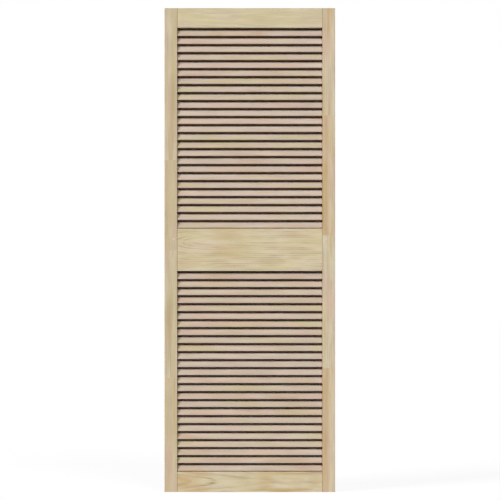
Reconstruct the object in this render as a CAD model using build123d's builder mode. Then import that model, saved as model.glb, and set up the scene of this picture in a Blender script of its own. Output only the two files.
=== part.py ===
from build123d import *
import math
import os

# Louvred pine wardrobe door, in millimetres: two stiles and three rails round two banks of fixed slats.
# X runs across the door, Y from its front to its back, and Z up from the middle of its bottom edge.

# Leaf
door_width = 594.0
door_height = 1685.0
door_thickness = 21.0

# Stiles
stile_width = 44.0
stile_outer_ease = 1.5
stile_inner_ease = 0.6

# Rails
top_rail_height = 68.5
middle_rail_height = 146.5
bottom_rail_height = 70.0
rail_ease = 1.0
rail_end_chamfer = 0.5

# Tenons on the rail ends, each set in from the side of the rail that faces a bank of slats
tenon_length = 26.0
tenon_width = 46.0
tenon_thickness = 7.0
tenon_shoulder = 12.0
tenon_chamfer = 1.0
mortise_clearance = 0.1
mortise_end_gap = 1.0

# Slats, tilted from the upright with the front edge low and both edges crowned
slat_thickness = 6.0
slat_edge_crown = 1.7
slat_tilt_degrees = 26.0
slat_recess = 1.5
least_slat_overlap = 1.5
lowest_slat_gap = 1.4
lowest_slat_cover = 0.4
highest_slat_gap = 0.4

# Housings that hold the slat ends in the stiles
housing_depth = 9.0
housing_clearance = 0.15
slat_end_gap = 0.5

# Pins through the middle rail's upper tenons, each sunk under a spot of filler
pin_width = 1.6
pin_thickness = 1.4
pin_length = 15.0
pin_inset = 12.0
pin_clearance = 0.05
filler_diameter = 5.0
filler_depth = 1.5

# Frame places: the rails below a bank rise towards the back, to shut the gap under its lowest slat
rail_length = door_width - 2 * stile_width
inner_edge = rail_length / 2
stile_centre = (door_width - stile_width) / 2
panel_height = (door_height - top_rail_height - middle_rail_height - bottom_rail_height) / 2
middle_rail_bottom = bottom_rail_height + panel_height
upper_panel_bottom = middle_rail_bottom + middle_rail_height
top_rail_bottom = upper_panel_bottom + panel_height
rail_back_rise = lowest_slat_gap + lowest_slat_cover
front_face = Plane.XZ.offset(door_thickness / 2)

# Tenon places: one on each end of the outer rails, and two on each end of the wide middle rail
tenon_inset = tenon_shoulder + tenon_width / 2
bottom_tenons = [bottom_rail_height - tenon_inset]
middle_tenons = [middle_rail_bottom + tenon_inset, upper_panel_bottom - tenon_inset]
top_tenons = [top_rail_bottom + tenon_inset]

# Slat section: a flat core between two crowned edges, as deep as the recesses leave room for
slat_tilt = math.radians(slat_tilt_degrees)
slat_rotation = math.degrees(math.pi / 2 - slat_tilt)
slat_depth = door_thickness - 2 * slat_recess
slat_flat = (slat_depth - slat_thickness * math.cos(slat_tilt)) / math.sin(slat_tilt)
slat_width = slat_flat + 2 * slat_edge_crown
slat_edge_radius = ((slat_thickness / 2) ** 2 + slat_edge_crown**2) / (2 * slat_edge_crown)
slat_rise = (slat_width - 2 * slat_edge_radius) * math.cos(slat_tilt) + 2 * slat_edge_radius
slat_length = rail_length + 2 * (housing_depth - slat_end_gap)

# Slat spacing: as few slats as keep each one lapping the next
slat_travel = panel_height - lowest_slat_gap - slat_rise - highest_slat_gap
slat_steps = math.ceil(slat_travel / (slat_rise - least_slat_overlap))
slat_pitch = slat_travel / slat_steps
slat_offsets = [lowest_slat_gap + slat_rise / 2 + step * slat_pitch for step in range(slat_steps + 1)]
bank_bottoms = {"lower": bottom_rail_height, "upper": upper_panel_bottom}
slat_heights = [bottom + offset for bottom in bank_bottoms.values() for offset in slat_offsets]

# Housing section: the slat's with clearance, its corners clipped at 45 degrees along the crowned edges
housing_width = slat_width + 2 * housing_clearance
housing_thickness = slat_thickness + 2 * housing_clearance
housing_clip = housing_thickness / 2 - (math.sqrt(2) - 1) * (slat_edge_radius + housing_clearance)

# Pin places
pin_places = [(side * (inner_edge + pin_inset), middle_tenons[-1]) for side in (-1, 1)]
pin_hole_width = pin_width + 2 * pin_clearance
pin_hole_thickness = pin_thickness + 2 * pin_clearance
pin_head = Plane.XZ.offset(door_thickness / 2 - filler_depth)

os.makedirs("parts", exist_ok=True)


def save(builder, name):
    """Label a finished piece and write it under its own name."""
    builder.part.label = name
    export_step(builder.part, f"parts/{name}.step")


# Right stile: an eased upright with a tilted housing for each slat end, mortises and a pin hole
with BuildPart() as right_stile:
    with BuildSketch() as stile_section:
        with Locations((stile_centre, 0)):
            Rectangle(stile_width, door_thickness)
        fillet(stile_section.vertices().group_by(Axis.X)[-1], radius=stile_outer_ease)
        fillet(stile_section.vertices().group_by(Axis.X)[0], radius=stile_inner_ease)
    extrude(amount=door_height)
    with BuildSketch(Plane.YZ.offset(inner_edge)) as housings:
        with Locations([(0, height) for height in slat_heights]):
            Rectangle(housing_width, housing_thickness, rotation=slat_rotation)
        chamfer(housings.vertices(), length=housing_clip)
    extrude(amount=housing_depth, mode=Mode.SUBTRACT)
    with BuildSketch(Plane.YZ.offset(inner_edge)):
        with Locations([(0, height) for height in bottom_tenons + middle_tenons + top_tenons]):
            Rectangle(tenon_thickness + 2 * mortise_clearance, tenon_width + 2 * mortise_clearance)
    extrude(amount=tenon_length + mortise_end_gap, mode=Mode.SUBTRACT)
    with BuildSketch(front_face):
        with Locations(pin_places[-1]):
            Circle(filler_diameter / 2 + pin_clearance)
    extrude(amount=-filler_depth, mode=Mode.SUBTRACT)
    with BuildSketch(pin_head):
        with Locations(pin_places[-1]):
            Rectangle(pin_hole_thickness, pin_hole_width)
    extrude(amount=-(pin_length + pin_clearance), mode=Mode.SUBTRACT)
save(right_stile, "right_stile")

# Left stile: the right one's mirror image
with BuildPart() as left_stile:
    mirror(right_stile.part, about=Plane.YZ)
save(left_stile, "left_stile")


def make_rail(bottom, height, tenon_heights, eased_corners, back_rise=0):
    """A flat rail with tenons on its chamfered ends, eased along the sides that face a bank of slats."""
    with BuildPart() as rail:
        with BuildSketch(Plane.YZ) as section:
            with BuildLine():
                Polyline(
                    (-door_thickness / 2, bottom),
                    (door_thickness / 2, bottom),
                    (door_thickness / 2, bottom + height + back_rise),
                    (-door_thickness / 2, bottom + height),
                    close=True,
                )
            make_face()
            fillet(section.vertices().sort_by(Axis.Y)[eased_corners], radius=rail_ease)
        extrude(amount=inner_edge, both=True)
        with BuildSketch(Plane.XY.offset(bottom)) as plan:
            Rectangle(rail_length, door_thickness)
            chamfer(plan.vertices(), length=rail_end_chamfer)
        extrude(amount=height + back_rise, mode=Mode.INTERSECT)
        with BuildSketch(Plane.YZ):
            with Locations([(0, place) for place in tenon_heights]):
                Rectangle(tenon_thickness, tenon_width)
        extrude(amount=inner_edge + tenon_length, both=True)
        for end in (0, -1):
            tips = rail.faces().group_by(Axis.X)[end]
            chamfer(tips.edges(), length=tenon_chamfer)
    return rail


# Rails: two of a section's four corners lie along its lower side, and then two along its upper side
lower_side, upper_side, both_sides = slice(0, 2), slice(2, 4), slice(0, 4)
save(make_rail(0, bottom_rail_height, bottom_tenons, upper_side, rail_back_rise), "bottom_rail")
save(make_rail(top_rail_bottom, top_rail_height, top_tenons, lower_side), "top_rail")

# Middle rail: its upper tenons are bored for the pins
with BuildPart() as middle_rail:
    add(make_rail(middle_rail_bottom, middle_rail_height, middle_tenons, both_sides, rail_back_rise).part)
    with BuildSketch(front_face):
        with Locations(pin_places):
            Rectangle(pin_hole_thickness, pin_hole_width)
    extrude(amount=-door_thickness, mode=Mode.SUBTRACT)
save(middle_rail, "middle_rail")

# Slat section, drawn with its width along the first axis
with BuildSketch() as slat_section:
    with BuildLine():
        upper_face = Line((-slat_flat / 2, slat_thickness / 2), (slat_flat / 2, slat_thickness / 2))
        lower_face = Line((slat_flat / 2, -slat_thickness / 2), (-slat_flat / 2, -slat_thickness / 2))
        ThreePointArc(upper_face @ 1, (slat_width / 2, 0), lower_face @ 0)
        ThreePointArc(lower_face @ 1, (-slat_width / 2, 0), upper_face @ 0)
    make_face()

# Slats: one piece each, numbered from the bottom of its bank
for bank, bank_bottom in bank_bottoms.items():
    for number, offset in enumerate(slat_offsets, start=1):
        with BuildPart() as slat:
            with BuildSketch(Plane.YZ):
                with Locations((0, bank_bottom + offset)):
                    add(slat_section.sketch, rotation=slat_rotation)
            extrude(amount=slat_length / 2, both=True)
        save(slat, f"{bank}_slat_{number:02d}")

# Pins, driven from the front and sunk below it
with BuildPart() as joint_pins:
    with BuildSketch(pin_head):
        with Locations(pin_places):
            Rectangle(pin_thickness, pin_width)
    extrude(amount=-pin_length)
save(joint_pins, "joint_pins")

# Filler over the pins, flush with the front
with BuildPart() as pin_filler:
    with BuildSketch(front_face):
        with Locations(pin_places):
            Circle(filler_diameter / 2)
    extrude(amount=-filler_depth)
save(pin_filler, "pin_filler")

print(f"{slat_steps + 1} slats to a bank, {slat_width:.2f} mm wide at a pitch of {slat_pitch:.2f} mm")
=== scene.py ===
# %% [markdown]
# # A louvred pine wardrobe door
# The door is a flat frame of unfinished pine: two stiles, three rails and two banks of fixed, tilted
# slats. Its joinery comes ready made and at its real size, so this lesson is about light and wood. Every
# board is loaded where it belongs, and each one then gets grain that runs along it, as a joiner would lay
# it out.

# %% Load the door
import math
import random

import bpy
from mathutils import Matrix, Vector


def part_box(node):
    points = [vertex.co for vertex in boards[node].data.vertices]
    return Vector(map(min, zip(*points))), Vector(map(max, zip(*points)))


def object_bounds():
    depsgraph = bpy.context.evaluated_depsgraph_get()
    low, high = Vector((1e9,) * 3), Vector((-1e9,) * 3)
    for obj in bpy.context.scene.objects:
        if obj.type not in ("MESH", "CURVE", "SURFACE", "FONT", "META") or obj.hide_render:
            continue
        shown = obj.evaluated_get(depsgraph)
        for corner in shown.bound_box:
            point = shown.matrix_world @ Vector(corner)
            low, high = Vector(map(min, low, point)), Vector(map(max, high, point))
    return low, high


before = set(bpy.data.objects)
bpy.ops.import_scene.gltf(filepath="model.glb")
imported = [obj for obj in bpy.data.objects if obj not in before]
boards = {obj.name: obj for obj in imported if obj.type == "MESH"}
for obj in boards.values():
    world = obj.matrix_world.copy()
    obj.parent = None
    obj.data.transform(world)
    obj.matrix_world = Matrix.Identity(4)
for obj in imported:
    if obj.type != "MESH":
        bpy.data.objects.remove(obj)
cad_low, cad_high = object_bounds()
door_size = cad_high - cad_low
door_middle = (cad_low + cad_high) / 2
print("Loaded", len(boards), "pieces, overall size in metres:", [round(side, 4) for side in door_size])

# %% [markdown]
# ## The camera
# A catalogue picture of a door is taken square on, from far away, so that upright edges stay parallel and
# every slat shows the same height. An orthographic camera would do that, but a long lens a good way back
# keeps the trace of perspective that a real picture has. The lens follows from the distance and from how
# much of the picture's height the door fills.

# %% Stand the camera in front
picture_px = 500
door_top_px = 8.1
door_bottom_px = 492.1
door_middle_px = (249.8, 250.1)
camera_distance = 9.0

metres_per_px = door_size.z / (door_bottom_px - door_top_px)
picture_width = picture_px * metres_per_px

camera = bpy.data.objects.new("picture_camera", bpy.data.cameras.new("picture_camera"))
bpy.context.scene.collection.objects.link(camera)
bpy.context.scene.camera = camera
camera.location = (
    door_middle.x + (picture_px / 2 - door_middle_px[0]) * metres_per_px,
    cad_low.y - camera_distance,
    door_middle.z + (door_middle_px[1] - picture_px / 2) * metres_per_px,
)
camera.rotation_euler = (math.radians(90), 0, 0)
camera.data.lens = camera.data.sensor_width * camera_distance / picture_width
camera.data.clip_end = 4 * camera_distance
print(f"Lens {camera.data.lens:.0f} mm, picture {picture_width:.3f} m wide")

# %% [markdown]
# ## Nodes in short calls
# Every finish below is a tree of shader nodes. Adding a node takes three or four lines each time, so a
# small class does it in one. An input is either a plain value or the output of another node, and `feed`
# sees to both.

# %% A helper that grows a node tree
class Finish:
    """One material or world, with a short call for each kind of node that this lesson uses."""

    def __init__(self, owner):
        owner.use_nodes = True
        self.owner = owner
        self.tree = owner.node_tree
        self.tree.nodes.clear()

    def feed(self, socket, value):
        """Link an output to the socket, or write a plain value on it."""
        if isinstance(value, bpy.types.NodeSocket):
            self.tree.links.new(value, socket)
        else:
            socket.default_value = value

    def node(self, kind, inputs=None, **settings):
        """Add a node, choose its settings and fill its inputs by name or number."""
        made = self.tree.nodes.new("ShaderNode" + kind)
        for setting, value in settings.items():
            setattr(made, setting, value)
        for socket, value in (inputs or {}).items():
            self.feed(made.inputs[socket], value)
        return made

    def math(self, operation, *values):
        """A sum on numbers."""
        return self.node("Math", dict(enumerate(values)), operation=operation).outputs[0]

    def vector(self, operation, *values):
        """A sum on vectors."""
        return self.node("VectorMath", dict(enumerate(values)), operation=operation).outputs[0]

    def mix(self, share, first, second, blend="MIX"):
        """The first colour with a share of the second laid over it."""
        inputs = {"Factor": share, 6: first, 7: second}
        return self.node("Mix", inputs, data_type="RGBA", blend_type=blend).outputs[2]

    def remap(self, value, low, high, to_low=0.0, to_high=1.0):
        """The value stretched from one range to another, and held at its ends."""
        inputs = {"Value": value, 1: low, 2: high, 3: to_low, 4: to_high}
        return self.node("MapRange", inputs).outputs[0]

    def noise(self, place, detail=2.0):
        """Soft random values and colours from 0 to 1, one blotch to each unit of the place."""
        return self.node("TexNoise", {"Vector": place, "Scale": 1.0, "Detail": detail}).outputs

    def bump(self, height, strength, depth):
        """Fine relief that catches the light and leaves the mesh as it is."""
        inputs = {"Height": height, "Strength": strength, "Distance": depth}
        return self.node("Bump", inputs).outputs[0]

    def skin(self, inputs):
        """End the tree in a surface with those inputs."""
        surface = self.node("BsdfPrincipled", inputs)
        self.node("OutputMaterial", {"Surface": surface.outputs[0]})


print("Node calls ready:", ", ".join(name for name in vars(Finish) if not name.startswith("_")))

# %% [markdown]
# ## A plain studio
# The door is lit from above on both sides, stronger on the left. That is what draws the louvres: each
# slat throws a narrow shadow on the one below it, and the left stile throws one on the slat ends. Suns
# with a wide disc stand in for large softboxes far away, so the light is even from top to bottom. Two more
# light the back, from below, because from above they would shine through the louvres. A sun of strength
# pi, square on, shows a colour just as it is written.

# %% Hang the lights
plain_sun = math.pi
sun_disc = math.radians(20)
# Share of the plain level, degrees to the right of the camera, degrees above the horizon
suns = {
    "left_softbox": (1.156, -52, 35),
    "right_softbox": (0.576, 22, 44),
    "back_left_softbox": (0.70, -140, -30),
    "back_right_softbox": (0.70, 140, -30),
}

light_on_floor = 0.0
for sun_name, (share, bearing, height) in suns.items():
    bearing = math.radians(bearing)
    height = math.radians(height)
    towards_sun = Vector((
        math.sin(bearing) * math.cos(height),
        -math.cos(bearing) * math.cos(height),
        math.sin(height),
    ))
    sun = bpy.data.objects.new(sun_name, bpy.data.lights.new(sun_name, "SUN"))
    sun.data.energy = share * plain_sun
    sun.data.angle = sun_disc
    sun.rotation_euler = towards_sun.to_track_quat("Z", "Y").to_euler()
    bpy.context.scene.collection.objects.link(sun)
    light_on_floor += share * max(towards_sun.z, 0.0)
    print(f"{sun_name}: {share * abs(towards_sun.y):.2f} of the plain level on the face that it lights")

# %% [markdown]
# ## White round the door
# The room has two jobs that pull apart. Behind the door it has to look white, and in the louvres it has to
# stay dim, or the shadows fill up. A Light Path node tells them apart: rays from the camera, and those
# that mirror off a glossy surface or pass through glass, meet a white room, and all others meet a dim one.

# %% Build the room
room_light = 0.015
white = (1.0, 1.0, 1.0, 1.0)


def seen_directly(finish):
    """1 for rays that come from the camera, a reflection or glass, and 0 for light that bounces about."""
    path = finish.node("LightPath").outputs
    mirrored = finish.math("MAXIMUM", path["Is Glossy Ray"], path["Is Transmission Ray"])
    return finish.math("MAXIMUM", path["Is Camera Ray"], mirrored)


room = Finish(bpy.data.worlds.new("studio_room"))
dim_or_white = room.remap(seen_directly(room), 0.0, 1.0, room_light, 1.0)
backdrop = room.node("Background", {"Color": white, "Strength": dim_or_white})
room.node("OutputWorld", {"Surface": backdrop.outputs[0]})
bpy.context.scene.world = room.owner
bpy.context.scene.view_settings.view_transform = "Standard"
print(f"Room white to look at, {room_light} bright in the louvres")

# %% [markdown]
# ## The floor
# The floor is grey paint, which throws little light back up at the door. For the same rays as the room, a
# glow tops it up to white wherever the lights reach it, so that only the door's shadow still shows. It
# throws no shadow of its own, since the two back lights shine up through it.

# %% Lay the floor
floor_span = 40.0
floor_paint = 0.08

lit_floor = floor_paint * (light_on_floor + room_light)
floor_finish = Finish(bpy.data.materials.new("studio_floor"))
paint = floor_finish.node("BsdfDiffuse", {"Color": (floor_paint, floor_paint, floor_paint, 1.0)})
top_up = floor_finish.math("MULTIPLY", seen_directly(floor_finish), 1.0 - lit_floor)
glow = floor_finish.node("Emission", {"Color": white, "Strength": top_up})
both = floor_finish.node("AddShader", {0: paint.outputs[0], 1: glow.outputs[0]})
floor_finish.node("OutputMaterial", {"Surface": both.outputs[0]})

reach = floor_span / 2
corner_signs = ((-1, -1), (1, -1), (1, 1), (-1, 1))
floor_corners = [(side * reach, end * reach, cad_low.z) for side, end in corner_signs]
floor_mesh = bpy.data.meshes.new("studio_floor")
floor_mesh.from_pydata(floor_corners, [], [(0, 1, 2, 3)])
floor_mesh.materials.append(floor_finish.owner)
floor = bpy.data.objects.new("studio_floor", floor_mesh)
bpy.context.scene.collection.objects.link(floor)
floor.visible_shadow = False
print(f"Floor {floor_span} m square, its lit paint {lit_floor:.2f} bright before the glow")

# %% [markdown]
# ## A board along its grain
# A stile stands, a rail lies flat and a slat is tilted, but wood only cares which way its grain runs. So a
# finish first measures its place from the middle of the board and turns it, until X runs along the grain,
# Y into the board and Z across it. Attribute nodes read what differs from board to board from custom
# properties on the board itself. That way many boards share one finish, and still all look different.

# %% Measure every board
stile_names = ["left_stile", "right_stile"]
rail_names = ["top_rail", "middle_rail", "bottom_rail"]
slat_names = sorted(name for name in boards if "_slat_" in name)

for name in stile_names + rail_names + slat_names:
    low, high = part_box(name)
    boards[name]["board_middle"] = (Vector(low) + Vector(high)) / 2
print(len(stile_names), "stiles,", len(rail_names), "rails and", len(slat_names), "slats measured")


# %% Turn a board along its grain
class Board(Finish):
    """A finish that knows its place on a board: along the grain, into the board and across it."""

    def __init__(self, name, turn):
        super().__init__(bpy.data.materials.new(name))
        place = self.node("TexCoord").outputs["Object"]
        from_middle = self.vector("SUBTRACT", place, self.carried("board_middle"))
        inputs = {"Vector": from_middle, "Rotation": [math.radians(angle) for angle in turn]}
        self.grain = self.node("VectorRotate", inputs, rotation_type="EULER_XYZ").outputs[0]
        self.along, self.inwards, self.across = self.split(self.grain)

    def carried(self, name, output="Vector"):
        """Three numbers that the board carries as a custom property, or one from the output Fac."""
        return self.node("Attribute", attribute_type="OBJECT", attribute_name=name).outputs[output]

    def split(self, vector):
        """The three numbers of a vector."""
        return self.node("SeparateXYZ", {0: vector}).outputs

    def join(self, x, y, z=0.0):
        """A vector of three numbers."""
        return self.node("CombineXYZ", {"X": x, "Y": y, "Z": z}).outputs[0]

    def length(self, vector):
        """How long a vector is."""
        return self.node("VectorMath", {0: vector}, operation="LENGTH").outputs["Value"]


print("Board calls ready:", ", ".join(name for name in vars(Board) if not name.startswith("_")))

# %% [markdown]
# ## Lengths glued end to end
# Clear pine comes short, so a long stile is often glued up from several lengths, whose ends are cut into
# fingers. Here they come out of two planks in turn. A board carries how far from its middle its glue lines
# lie. Each line that a place lies below moves it on to another part of the noise, so the grain starts anew
# at the joint. Separate meshes would do that too, but a glued-up stile is handled as one piece.

# %% Glue up the lengths
finger_width = 0.003
finger_slope = 3.0
plank_step = 3.7


class Pine(Board):
    """A board of one length or several, out of two planks in turn, each length with grain of its own."""

    def __init__(self, name, turn):
        super().__init__(name, turn)
        finger = self.math("PINGPONG", self.inwards, finger_width)
        fingered = self.math("MULTIPLY_ADD", finger, finger_slope, self.along)
        glue_lines = self.split(self.carried("glue_lines"))
        passed = [self.math("LESS_THAN", fingered, glue_line) for glue_line in glue_lines]
        length_number = self.math("ADD", self.math("ADD", passed[0], passed[1]), passed[2])
        self.second_plank = self.math("PINGPONG", length_number, 1.0)
        self.seed = self.math("MULTIPLY_ADD", length_number, plank_step, self.carried("seed", "Fac"))
        self.seeded = self.vector("ADD", self.grain, self.seed)

    def blotches(self, length, width, detail=2.0):
        """Noise drawn out along the grain, in blotches of that length and width."""
        stretch = (1 / length, 1 / width, 1 / width)
        return self.noise(self.vector("MULTIPLY", self.seeded, stretch), detail)


print(f"Fingers {finger_width * 1000:.0f} mm wide and {finger_width * finger_slope * 1000:.0f} mm long")

# %% [markdown]
# ## How pine grows
# Pine grain is not painted on: it is a cut through the trunk's yearly rings. So the wood is worked out in
# space. Each board carries the line of the tree's pith, and what counts is how far from that line the wood
# grew. Where the saw ran at a slant to the pith, the face shows nested arches, and where it ran along it,
# straight lines. An end shows arcs. A wave texture would be quicker, but would repeat, and its ends would
# not match its faces.

# %% Follow the pith
sway = 0.008
sway_length = 0.30
sway_width = 0.075
noise_middle = (0.5, 0.5, 0.5)


def distance_from_pith(wood):
    """How far from the pith the wood grew. The pith leans, bows, and sways as a trunk does."""
    lean, depth, side = wood.split(wood.carried("pith"))
    bow, bow_start, _ = wood.split(wood.carried("figure"))
    past_start = wood.math("MINIMUM", wood.math("SUBTRACT", wood.along, bow_start), 0.0)
    bowed = wood.math("MULTIPLY", wood.math("MULTIPLY", past_start, past_start), bow)
    leaning = wood.math("MULTIPLY_ADD", wood.along, lean, depth)
    pith = wood.join(wood.along, wood.math("ADD", leaning, bowed), side)
    bends = wood.blotches(sway_length, sway_width, detail=1.0)["Color"]
    either_way = wood.vector("SUBTRACT", bends, noise_middle)
    bent = wood.vector("MULTIPLY_ADD", either_way, (0, sway, sway), wood.grain)
    return wood.length(wood.vector("SUBTRACT", bent, pith))


print(f"A trunk sways by up to {sway / 2 * 1000:.0f} mm to either side")

# %% [markdown]
# ## Yearly rings
# The distance from the pith, counted in ring widths, gives the year and the season. A year starts with
# pale spring wood, darkens into a thin tawny line in autumn and stops short. No two years are alike, and a
# line fades and comes back along the board, so both are left to chance.

# %% Count the years
wobble_years = 0.5
wobble_length = 0.08
wobble_width = 0.018
autumn_starts = 0.25
autumn_ends = 0.85


def count_years(wood):
    """The tree's age when the wood grew. No ring is quite round, so the count wobbles."""
    ripple = wood.blotches(wobble_length, wobble_width, detail=3.0)["Fac"]
    age = wood.math("DIVIDE", distance_from_pith(wood), wood.carried("ring_width", "Fac"))
    return wood.math("MULTIPLY_ADD", ripple, wobble_years, age)


def autumn_wood(wood, years):
    """0 for spring wood, 1 for the darkest line of the year."""
    season = wood.math("FRACT", years)
    darkening = wood.remap(season, autumn_starts, autumn_ends)
    stopping = wood.remap(season, autumn_ends, 1.0, 1.0, 0.0)
    return wood.math("MULTIPLY", wood.math("MULTIPLY", darkening, darkening), stopping)


print(f"A ring darkens over {autumn_ends - autumn_starts:.0%} of its year and then stops short")

# %% Let some rings show more than others
patch_length = 0.10
patch_width = 0.016
patch_range = (0.38, 0.65)
faintest_patch = 0.1
weakest_year = 0.4


def ring_strength(wood, years, patches):
    """How clearly a ring shows at this place."""
    year = wood.math("FLOOR", years)
    vigour = wood.node("TexWhiteNoise", {"W": year}, noise_dimensions="1D").outputs["Value"]
    of_the_year = wood.remap(vigour, 0.0, 1.0, weakest_year, 1.0)
    of_the_patch = wood.remap(patches, *patch_range, faintest_patch, 1.0)
    of_the_board = wood.split(wood.carried("figure"))["Z"]
    return wood.math("MULTIPLY", wood.math("MULTIPLY", of_the_patch, of_the_year), of_the_board)


print(f"The weakest year shows {weakest_year:.0%} as much as the strongest")

# %% [markdown]
# ## Warm colours
# Up close, pine is several colours at once. Amber streaks a few years wide keep to the rings, and slow
# drifts towards pink and straw don't. Resin stains a long patch here and there. The second plank of a
# glued-up board is warmer, most of all towards one side. A painted texture could hold all that, but noise
# in space also runs on round a board's edges without a seam.

# %% Streak it with amber
streak_years = 2.5
streak_range = (0.45, 0.68)
warm_range = (-0.5, 0.5)


def amber_share(wood, years, streak_length):
    """How much of the streaks and of the warm plank shows at this place."""
    streak_place = wood.join(
        wood.math("DIVIDE", wood.along, streak_length),
        wood.math("DIVIDE", years, streak_years),
    )
    streaks = wood.noise(wood.vector("ADD", streak_place, wood.seed))["Fac"]
    sideways = wood.math("MULTIPLY", wood.across, wood.carried("warm_side", "Fac"))
    warm_plank = wood.math("MULTIPLY", wood.second_plank, wood.remap(sideways, *warm_range))
    return wood.math("MAXIMUM", wood.remap(streaks, *streak_range), warm_plank)


print("Amber streaks are about", streak_years, "years wide")

# %% Let the colour drift
drift_length = 0.16
drift_width = 0.018
drift_range = (0.42, 0.66)


def warm(wood, colour, colours, amber):
    """The colour with the board's tint: its shares of pink, straw and amber."""
    pink_tint, straw_tint, amber_tint = wood.split(wood.carried("tint"))
    colour = wood.mix(wood.math("MULTIPLY", amber, amber_tint), colour, colours["amber"])
    drift = wood.blotches(drift_length, drift_width)["Color"]
    to_pink, to_straw, _ = wood.node("SeparateColor", {0: drift}).outputs
    pink = wood.math("MULTIPLY", wood.remap(to_pink, *drift_range), pink_tint)
    straw = wood.math("MULTIPLY", wood.remap(to_straw, *drift_range), straw_tint)
    colour = wood.mix(pink, colour, colours["pink"])
    return wood.mix(straw, colour, colours["straw"])


print(f"Drifts of colour are about {drift_length * 100:.0f} cm long and {drift_width * 100:.1f} cm wide")

# %% Stain it with resin
stain_names = ("upper_stain", "lower_stain")
stain_length = 0.17
stain_width = 0.016
stain_fade = (0.2, 1.0)


def stain(wood, colour, resin):
    """The colour with the board's resin stains. It carries each one's places along and across, and share."""
    for stain_name in stain_names:
        stain_along, stain_across, share = wood.split(wood.carried(stain_name))
        endways = wood.math("DIVIDE", wood.math("SUBTRACT", wood.along, stain_along), stain_length)
        sideways = wood.math("DIVIDE", wood.math("SUBTRACT", wood.across, stain_across), stain_width)
        distance = wood.length(wood.join(endways, sideways))
        stained = wood.math("MULTIPLY", wood.remap(distance, *stain_fade, 1.0, 0.0), share)
        colour = wood.mix(stained, colour, resin)
    return colour


print("A board has room for", len(stain_names), "resin stains")

# %% [markdown]
# ## Shade and painted shade
# Fine fibres and broad clouds make one board lighter here and darker there. Painted shade darkens the wood
# where a rail or a slat meets a stile, and on the part of a slat that its neighbour shelters: high on its
# front and low on its back. That part is found from the place alone, since across times inwards has the same
# sign on both.

# %% Shade the fibres
fibre_range = (0.25, 0.75)
fibre_shades = (0.95, 1.05)
cloud_range = (0.3, 0.7)
cloud_shades = (1.04, 0.94)


def board_shade(wood, fibres, patches):
    """How bright the wood is, as a share of its colour."""
    clouds = wood.remap(patches, *cloud_range, *cloud_shades)
    cloudy = wood.math("MULTIPLY", clouds, wood.carried("brightness", "Fac"))
    return wood.math("MULTIPLY", wood.remap(fibres, *fibre_range, *fibre_shades), cloudy)


print("Fibres shade the wood from", fibre_shades[0], "to", fibre_shades[1])

# %% Paint the shade in the joints and under the slats
slat_thickness = 0.006
shelter_range = (0.0085, 0.0125)


def dust_share(wood, joint_at, joint_fade, joint_dust, shelter_dust):
    """Painted shade towards the joints at the board's ends, and on what the next slat shelters, where shade
    falls.
    """
    from_middle = wood.math("ABSOLUTE", wood.along)
    # Painted shade in the corner where the board's end meets a stile.
    in_joint = wood.remap(from_middle, joint_at - joint_fade, joint_at, 0.0, joint_dust)
    slanting = wood.math("MULTIPLY", wood.across, wood.inwards)
    tucked_in = wood.math("MULTIPLY", slanting, -2 / slat_thickness)
    # Painted shade on the part of a slat that its neighbour shelters, where the slat above casts its shadow.
    sheltered = wood.remap(tucked_in, *shelter_range, 0.0, shelter_dust)
    return wood.math("MAXIMUM", in_joint, sheltered)


# The painted shade on a slat begins this far from its middle line.
print(f"Dust begins {shelter_range[0] * 1000} mm from the middle line of a slat")

# %% [markdown]
# ## The pine finish
# One function now puts a finish together for any board: rings first, then the warm colours, short brown
# flecks where resin runs, shade, and painted shade at the joints and under the slats. The surface is dry,
# sawn and sanded, with next to no gloss. Its hard autumn lines stand a little proud of the soft spring wood,
# which a Bump node is enough for.

# %% Put the pine together
fibre_length = 0.020
fibre_width = 0.0005
fleck_length = 0.012
fleck_width = 0.0007
fleck_range = (0.70, 0.80)
fleck_share = 0.35
autumn_relief = 0.6
relief_strength = 0.35
relief_depth = 0.0002
sanded_roughness = (0.56, 0.70)
dry_gloss = 0.05


def pine(
    name, turn, colours, streak_length,
    joint_at=1.0, joint_fade=1.0, joint_dust=0.0, shelter_dust=0.0,
):
    """Unfinished pine. The turn, in degrees, lays the board's grain along X and its width along Z."""
    wood = Pine(name, turn)
    years = count_years(wood)
    autumn = autumn_wood(wood, years)
    patches = wood.blotches(patch_length, patch_width)["Fac"]
    fibres = wood.blotches(fibre_length, fibre_width)["Fac"]
    resin = wood.blotches(fleck_length, fleck_width, detail=0.0)["Fac"]

    rings = wood.math("MULTIPLY", autumn, ring_strength(wood, years, patches))
    colour = wood.mix(rings, colours["spring"], colours["autumn"])
    colour = warm(wood, colour, colours, amber_share(wood, years, streak_length))
    colour = stain(wood, colour, colours["autumn"])
    flecks = wood.remap(resin, *fleck_range, 0.0, fleck_share)
    colour = wood.mix(flecks, colour, colours["autumn"])
    colour = wood.mix(1.0, colour, board_shade(wood, fibres, patches), "MULTIPLY")
    # Painted shade: dark brown in the joints by the stiles and on the sheltered part of each slat.
    dust = dust_share(wood, joint_at, joint_fade, joint_dust, shelter_dust)
    colour = wood.mix(dust, colour, colours["dust"])

    relief = wood.math("MULTIPLY_ADD", autumn, autumn_relief, fibres)
    wood.skin({
        "Base Color": colour,
        "Roughness": wood.remap(fibres, *fibre_range, *sanded_roughness),
        "Specular IOR Level": dry_gloss,
        "Normal": wood.bump(relief, relief_strength, relief_depth),
    })
    print(name, "has", len(wood.tree.nodes), "nodes")
    return wood.owner


print("Pine can be made for any board, with flecks about", fleck_length * 1000, "mm long")

# %% [markdown]
# ## Two kinds of pine
# The stiles and rails are straw-coloured. The slats are ripped from thinner, slightly pinker stock. They
# lean back and catch about a third more light than the upright frame does, so their colours are written
# darker, and come out as bright as the rails. Rails and slats meet the stiles at the same inner edge,
# where the same painted shade darkens both.

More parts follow.
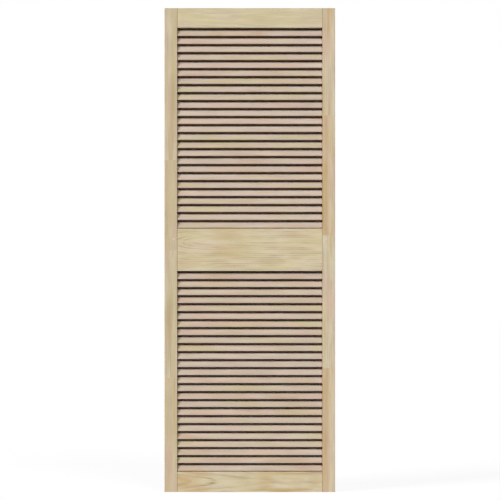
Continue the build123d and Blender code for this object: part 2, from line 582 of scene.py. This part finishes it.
# %% Choose the colours
def linear(red, green, blue):
    """A colour as a picture shows it, from 0 to 255, as the linear values that Blender works in."""
    shares = [value / 255 for value in (red, green, blue)]
    return tuple(s / 12.92 if s <= 0.04045 else ((s + 0.055) / 1.055) ** 2.4 for s in shares) + (1.0,)


# Painted shade: the dark brown laid at the joints by the stiles and on the sheltered part of each slat.
dust_brown = linear(92, 46, 8)
frame_colours = {
    "spring": linear(212, 200, 171),
    "autumn": linear(166, 142, 98),
    "amber": linear(196, 166, 120),
    "pink": linear(209, 184, 162),
    "straw": linear(202, 190, 142),
    "dust": dust_brown,
}
slat_colours = {
    "spring": linear(181, 166, 152),
    "autumn": linear(156, 133, 108),
    "amber": linear(168, 140, 112),
    "pink": linear(184, 157, 142),
    "straw": linear(176, 165, 130),
    "dust": dust_brown,
}
print("Colours chosen:", ", ".join(frame_colours))

# %% Make the three finishes
inner_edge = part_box("right_stile")[0][0]
slat_tilt = 26
stile_turn = (0, 90, 0)
rail_turn = (0, 0, 0)
slat_turn = (slat_tilt, 0, 0)
rail_dust_inset = 0.0003

stile_pine = pine("stile_pine", stile_turn, frame_colours, streak_length=0.35)
# Painted shade in the V where each rail end meets a stile.
rail_pine = pine(
    "rail_pine", rail_turn, frame_colours, streak_length=0.14,
    joint_at=inner_edge - rail_dust_inset, joint_fade=0.0012, joint_dust=0.9,
)
# Painted shade at the slat ends by the stiles, where the stiles' shadows fall, and where the slat above
# shelters each one.
louvre_pine = pine(
    "louvre_pine", slat_turn, slat_colours, streak_length=0.15,
    joint_at=inner_edge, joint_fade=0.0035, joint_dust=0.65, shelter_dust=0.95,
)

# %% [markdown]
# ## Laying out the frame
# Each stile is glued up from four lengths, out of a pale plank and a warmer one in turn, and the left one
# has two resin stains. The rails are flat-sawn out of one length each. Towards the left end of the lower
# two the pith bows, away from the face in the middle rail and towards it in the bottom one, and that draws
# their arches.

# %% Lay out the frame
# Pith: its lean along the board, how far behind the middle of the board it lies, and how far across
# Figure: how fast the pith bows towards the left end, where that begins, and how clearly the rings show
# Tint: shares of pink, straw and amber
# Seed: where in the noise the board is cut from
# Glue lines: how far from the board's middle its lengths meet, or past its end where it is one length
# Warm side: how fast the second plank warms across the board, per metre
# Stains: how far along and across the board from its middle, and the share of resin
one_length = (-1.0, -1.0, -1.0)
frame_layout = {
    "left_stile": {
        "pith": (0.006, 0.050, 0.055), "figure": (0.0, 0.0, 0.8), "ring_width": 0.0045,
        "brightness": 0.94, "tint": (0.7, 0.5, 0.6), "seed": 152.0,
        "glue_lines": (0.318, 0.004, -0.441), "warm_side": 15.0,
        "upper_stain": (0.515, -0.010, 0.30), "lower_stain": (-0.250, 0.005, 0.36),
    },
    "right_stile": {
        "pith": (-0.005, 0.045, -0.050), "figure": (0.0, 0.0, 0.8), "ring_width": 0.0045,
        "brightness": 0.98, "tint": (0.75, 0.0, 0.9), "seed": 16.0,
        "glue_lines": (0.474, 0.056, -0.406), "warm_side": 60.0,
    },
    "top_rail": {
        "pith": (0.030, 0.060, -0.060), "figure": (0.0, 0.0, 0.6), "ring_width": 0.0045,
        "brightness": 1.0, "tint": (0.3, 0.6, 0.2), "seed": 39.0, "glue_lines": one_length,
    },
    "middle_rail": {
        "pith": (0.0, -0.005, 0.025), "figure": (0.95, -0.12, 1.2), "ring_width": 0.007,
        "brightness": 1.0, "tint": (0.3, 0.5, 0.6), "seed": 51.0, "glue_lines": one_length,
    },
    "bottom_rail": {
        "pith": (0.0, 0.031, 0.001), "figure": (-0.18, 0.105, 1.6), "ring_width": 0.009,
        "brightness": 0.99, "tint": (0.3, 0.5, 1.0), "seed": 31.0, "glue_lines": one_length,
    },
}


def dress(name, material, **values):
    """Give a piece its finish, and the values that the finish reads."""
    for key, value in values.items():
        boards[name][key] = value
    boards[name].material_slots[0].material = material


for name, values in frame_layout.items():
    dress(name, stile_pine if name in stile_names else rail_pine, **values)
print("Frame laid out:", ", ".join(frame_layout))

# %% [markdown]
# ## Laying out the slats
# No two neighbouring slats come from the same board, so each one draws its own pith and tint. A random
# generator with a fixed seed deals the same slats on every run.

# %% Lay out the slats
steepest_lean = 0.01
pith_depths = (0.03, 0.09)
farthest_across = 0.08
slat_figure = (0.0, 0.0, 0.5)
slat_ring_width = 0.0045
slat_brightness = (0.96, 1.02)
most_pink, most_straw, most_amber = 0.9, 0.9, 0.6
farthest_seed = 40

draw = random.Random(26)
for name in slat_names:
    pith_side = draw.choice((-1, 1))
    pith_lean = draw.uniform(-steepest_lean, steepest_lean)
    pith_depth = pith_side * draw.uniform(*pith_depths)
    pith_across = draw.uniform(-farthest_across, farthest_across)
    dress(
        name, louvre_pine,
        pith=(pith_lean, pith_depth, pith_across),
        figure=slat_figure,
        ring_width=slat_ring_width,
        brightness=draw.uniform(*slat_brightness),
        tint=[draw.uniform(0.0, most) for most in (most_pink, most_straw, most_amber)],
        seed=draw.uniform(-farthest_seed, farthest_seed),
        glue_lines=one_length,
    )
print(len(slat_names), "slats laid out")

# %% [markdown]
# ## Pins and filler
# Two steel pins lock the middle rail's tenons, and each is hidden under a dab of filler. The filler dries
# paler than the wood and slightly grainy, which takes one round noise for both colour and relief.
# The pins are drawn wire, with faint streaks along them, so their noise is drawn out along the pin.

# %% Make the filler
filler_grain = 0.0008
grain_detail = 3.0
grain_range = (0.3, 0.7)
filler_dark = linear(222, 200, 184)
filler_pale = linear(233, 216, 202)
filler_relief = 0.4
filler_relief_depth = 0.0002
filler_roughness = 0.8
filler_gloss = 0.15

filler = Finish(bpy.data.materials.new("dried_filler"))
filler_place = filler.node("TexCoord").outputs["Object"]
filler_scale = (1 / filler_grain, 1 / filler_grain, 1 / filler_grain)
specks = filler.noise(filler.vector("MULTIPLY", filler_place, filler_scale), grain_detail)["Fac"]
filler.skin({
    "Base Color": filler.mix(filler.remap(specks, *grain_range), filler_dark, filler_pale),
    "Roughness": filler_roughness,
    "Specular IOR Level": filler_gloss,
    "Normal": filler.bump(specks, filler_relief, filler_relief_depth),
})
dress("pin_filler", filler.owner)
print("Filler made, with grains of", filler_grain * 1000, "mm")

# %% Make the steel
wire_streak_length = 0.005
wire_streak_width = 0.0002
wire_range = (0.3, 0.7)
wire_roughness = (0.25, 0.45)
steel_dark = linear(150, 148, 144)
steel_pale = linear(190, 188, 184)

steel = Finish(bpy.data.materials.new("drawn_steel"))
wire_place = steel.node("TexCoord").outputs["Object"]
wire_scale = (1 / wire_streak_width, 1 / wire_streak_length, 1 / wire_streak_width)
wire_streaks = steel.noise(steel.vector("MULTIPLY", wire_place, wire_scale))["Fac"]
steel.skin({
    "Base Color": steel.mix(wire_streaks, steel_dark, steel_pale),
    "Metallic": 1.0,
    "Roughness": steel.remap(wire_streaks, *wire_range, *wire_roughness),
})
dress("joint_pins", steel.owner)
print("Steel made, with streaks of", wire_streak_length * 1000, "mm")

# %% [markdown]
